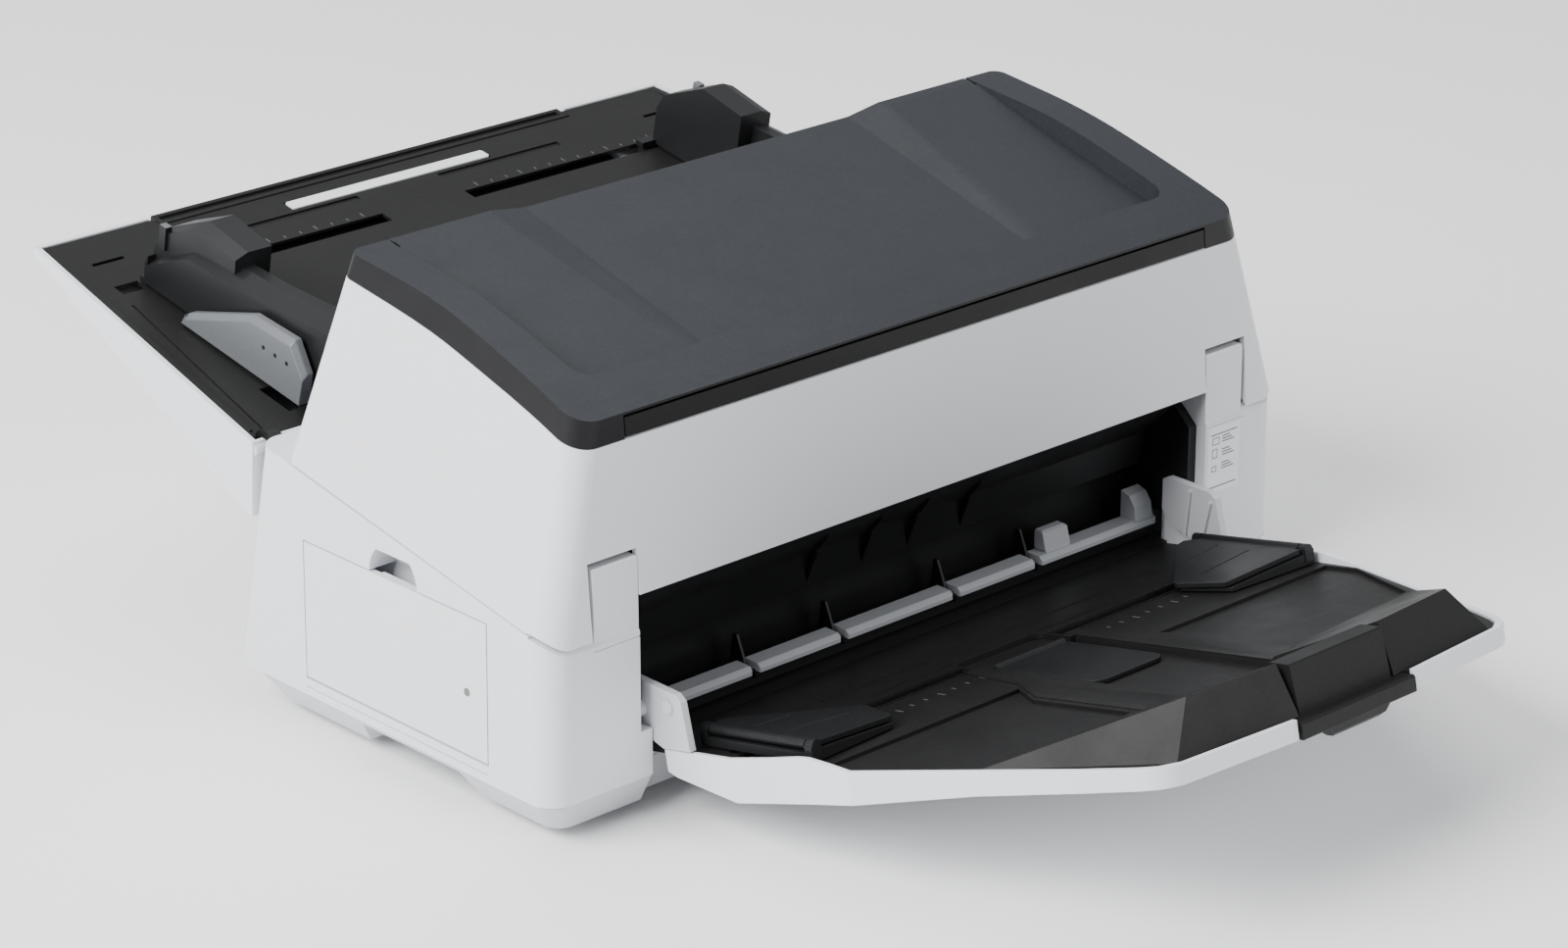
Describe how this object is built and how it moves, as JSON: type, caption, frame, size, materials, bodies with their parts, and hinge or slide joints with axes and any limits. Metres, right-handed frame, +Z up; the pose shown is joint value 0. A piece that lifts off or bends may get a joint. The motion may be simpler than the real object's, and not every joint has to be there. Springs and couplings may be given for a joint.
{
  "type": "sheet fed document scanner",
  "caption": "Desktop sheet fed document scanner with a rear paper hopper, a lift-up charcoal cover, a front stacker with folding side flaps, and side doors.",
  "frame": {"origin": "bottom centre of the whole object, on the plane the feet rest on", "axes": "+Z up, -Y towards the front where sheets come out, +X to the right seen from the rear"},
  "size_m": [0.4314, 0.6232, 0.2099],
  "materials": {
    "housing_white": "fine texture, satin",
    "casing_grey": "satin",
    "cover_charcoal": "fine texture, matt",
    "tray_black": "fine texture, matt",
    "guide_black": "satin",
    "strip_grey": "satin",
    "paddle_silver": "satin",
    "label_silver": "printed film",
    "rubber_black": "matt",
    "roller_rubber": "matt",
    "steel": "turned",
    "glass_dark": "polished",
    "board_green": "lacquer",
    "display_dark": "polished",
    "lamp_green": "clear",
    "button_white": "satin"
  },
  "bodies": {
    "base": {"base_shell": "housing_white", "bottom_pan": "casing_grey", "foot_front_left": "rubber_black", "foot_front_right": "rubber_black", "foot_rear_left": "rubber_black", "foot_rear_right": "rubber_black", "lower_guide": "guide_black", "lower_sensor": "guide_black", "lower_glass": "glass_dark", "drive_motor": "steel", "bearing_plate_left": "steel", "bearing_plate_right": "steel", "drive_belt": "rubber_black", "main_board": "board_green", "rear_panel": "casing_grey", "power_inlet": "guide_black", "data_socket": "steel", "fan_frame": "guide_black", "eject_strip": "strip_grey", "size_label": "label_silver", "pivot_pin_left": "steel", "pivot_pin_right": "steel"},
    "exit_roller_body": {"exit_roller": "roller_rubber"},
    "feed_roller_body": {"feed_roller": "roller_rubber"},
    "pick_roller_body": {"pick_roller": "roller_rubber"},
    "motor_pulley_body": {"motor_pulley": "steel"},
    "fan_body": {"fan_rotor": "guide_black"},
    "upper_unit": {"upper_shell": "housing_white", "top_cover": "cover_charcoal", "upper_guide": "guide_black", "upper_glass": "glass_dark", "upper_sensor": "guide_black"},
    "release_bar_body": {"release_bar": "tray_black"},
    "feed_idler_body": {"feed_idler": "roller_rubber"},
    "exit_idler_body": {"exit_idler": "roller_rubber"},
    "hopper": {"hopper_shell": "housing_white", "hopper_tray": "tray_black", "hopper_strip": "label_silver"},
    "hopper_extension_body": {"hopper_extension": "tray_black"},
    "guide_left_body": {"guide_left": "guide_black"},
    "guide_right_body": {"guide_right": "guide_black"},
    "paddle_left_body": {"paddle_left": "paddle_silver"},
    "paddle_right_body": {"paddle_right": "paddle_silver"},
    "stacker": {"stacker_shell": "housing_white", "stacker_tray": "tray_black", "bracket_left": "casing_grey", "bracket_right": "casing_grey"},
    "slider_left_body": {"slider_left": "guide_black"},
    "slider_right_body": {"slider_right": "guide_black"},
    "wing_left_body": {"wing_left": "guide_black"},
    "wing_right_body": {"wing_right": "guide_black"},
    "stacker_extension_body": {"stacker_extension": "tray_black"},
    "stopper_body": {"stopper_plate": "guide_black"},
    "door_left_body": {"door_left": "housing_white", "display": "display_dark", "status_lamp": "lamp_green"},
    "door_right_body": {"door_right": "housing_white"},
    "button_stop_body": {"button_stop": "button_white"},
    "button_start_body": {"button_start": "button_white"},
    "button_mode_body": {"button_mode": "button_white"}
  },
  "joints": [
    {"name": "upper_unit_lift", "type": "hinge", "parent": "base", "child": "upper_unit", "pos_m": [0, -0.06627, 0.075], "axis": [-1, 0, 0], "range_deg": [-60, 0]},
    {"name": "release_bar_press", "type": "hinge", "parent": "upper_unit", "child": "release_bar_body", "pos_m": [0, -0.07307, 0.1743], "axis": [1, 0, 0], "range_deg": [0, 8], "stiffness_Nm_per_rad": 0.2},
    {"name": "feed_idler_spin", "type": "hinge", "parent": "upper_unit", "child": "feed_idler_body", "pos_m": [0, 0.0342, 0.10788], "axis": [1, 0, 0], "continuous": true},
    {"name": "exit_idler_spin", "type": "hinge", "parent": "upper_unit", "child": "exit_idler_body", "pos_m": [0, -0.0218, 0.09729], "axis": [1, 0, 0], "continuous": true},
    {"name": "feed_roller_spin", "type": "hinge", "parent": "base", "child": "feed_roller_body", "pos_m": [0, 0.03751, 0.09039], "axis": [1, 0, 0], "continuous": true},
    {"name": "exit_roller_spin", "type": "hinge", "parent": "base", "child": "exit_roller_body", "pos_m": [0, -0.0185, 0.0798], "axis": [1, 0, 0], "continuous": true},
    {"name": "pick_roller_spin", "type": "hinge", "parent": "base", "child": "pick_roller_body", "pos_m": [0, 0.0945, 0.10116], "axis": [1, 0, 0], "continuous": true},
    {"name": "motor_pulley_spin", "type": "hinge", "parent": "base", "child": "motor_pulley_body", "pos_m": [0, 0.03839, 0.05341], "axis": [1, 0, 0], "continuous": true},
    {"name": "fan_spin", "type": "hinge", "parent": "base", "child": "fan_body", "pos_m": [-0.036, 0.11232, 0.05831], "axis": [0, 0.9806, 0.1961], "continuous": true},
    {"name": "hopper_tilt", "type": "hinge", "parent": "base", "child": "hopper", "pos_m": [0, 0.11573, 0.11748], "axis": [1, 0, 0], "range_deg": [0, 30]},
    {"name": "hopper_extension_pull", "type": "slide", "parent": "hopper", "child": "hopper_extension_body", "axis": [0, 0.9826, 0.1857], "range_m": [0, 0.08]},
    {"name": "guide_left_slide", "type": "slide", "parent": "hopper", "child": "guide_left_body", "axis": [1, 0, 0], "range_m": [0, 0.085]},
    {"name": "guide_right_slide", "type": "slide", "parent": "hopper", "child": "guide_right_body", "axis": [-1, 0, 0], "range_m": [0, 0.085]},
    {"name": "paddle_left_squeeze", "type": "slide", "parent": "guide_left_body", "child": "paddle_left_body", "axis": [1, 0, 0], "range_m": [0, 0.0012], "stiffness_N_per_m": 400},
    {"name": "paddle_right_squeeze", "type": "slide", "parent": "guide_right_body", "child": "paddle_right_body", "axis": [-1, 0, 0], "range_m": [0, 0.0012], "stiffness_N_per_m": 400},
    {"name": "stacker_fold", "type": "hinge", "parent": "base", "child": "stacker", "pos_m": [0, -0.07027, 0.046], "axis": [-1, 0, 0], "range_deg": [0, 25]},
    {"name": "slider_left_slide", "type": "slide", "parent": "stacker", "child": "slider_left_body", "axis": [1, 0, 0], "range_m": [0, 0.045]},
    {"name": "slider_right_slide", "type": "slide", "parent": "stacker", "child": "slider_right_body", "axis": [-1, 0, 0], "range_m": [0, 0.045]},
    {"name": "wing_left_flip", "type": "hinge", "parent": "slider_left_body", "child": "wing_left_body", "pos_m": [-0.146, -0.12617, 0.04723], "axis": [0, -0.9766, 0.2149], "range_deg": [0, 90]},
    {"name": "wing_right_flip", "type": "hinge", "parent": "slider_right_body", "child": "wing_right_body", "pos_m": [0.146, -0.12617, 0.04723], "axis": [0, 0.9766, -0.2149], "range_deg": [0, 90]},
    {"name": "stacker_extension_pull", "type": "slide", "parent": "stacker", "child": "stacker_extension_body", "axis": [0, -0.9766, 0.2149], "range_m": [0, 0.06]},
    {"name": "stopper_flip", "type": "hinge", "parent": "stacker", "child": "stopper_body", "pos_m": [0, -0.13326, 0.0406], "axis": [-1, 0, 0], "range_deg": [0, 85]},
    {"name": "door_left_swing", "type": "hinge", "parent": "base", "child": "door_left_body", "pos_m": [-0.2132, 0.01883, 0.031], "axis": [0, -1, 0], "range_deg": [0, 90]},
    {"name": "door_right_swing", "type": "hinge", "parent": "base", "child": "door_right_body", "pos_m": [0.2132, 0.01883, 0.031], "axis": [0, 1, 0], "range_deg": [0, 90]},
    {"name": "button_stop_press", "type": "slide", "parent": "door_left_body", "child": "button_stop_body", "axis": [-1, 0, 0], "range_m": [0, 0.001], "stiffness_N_per_m": 300},
    {"name": "button_start_press", "type": "slide", "parent": "door_left_body", "child": "button_start_body", "axis": [-1, 0, 0], "range_m": [0, 0.001], "stiffness_N_per_m": 300},
    {"name": "button_mode_press", "type": "slide", "parent": "door_left_body", "child": "button_mode_body", "axis": [-1, 0, 0], "range_m": [0, 0.001], "stiffness_N_per_m": 300}
  ],
  "couplings": [
    {"joint": "exit_roller_spin", "follows": "feed_roller_spin", "ratio": 1},
    {"joint": "pick_roller_spin", "follows": "feed_roller_spin", "ratio": 1},
    {"joint": "motor_pulley_spin", "follows": "feed_roller_spin", "ratio": 1},
    {"joint": "guide_right_slide", "follows": "guide_left_slide", "ratio": 1}
  ]
}
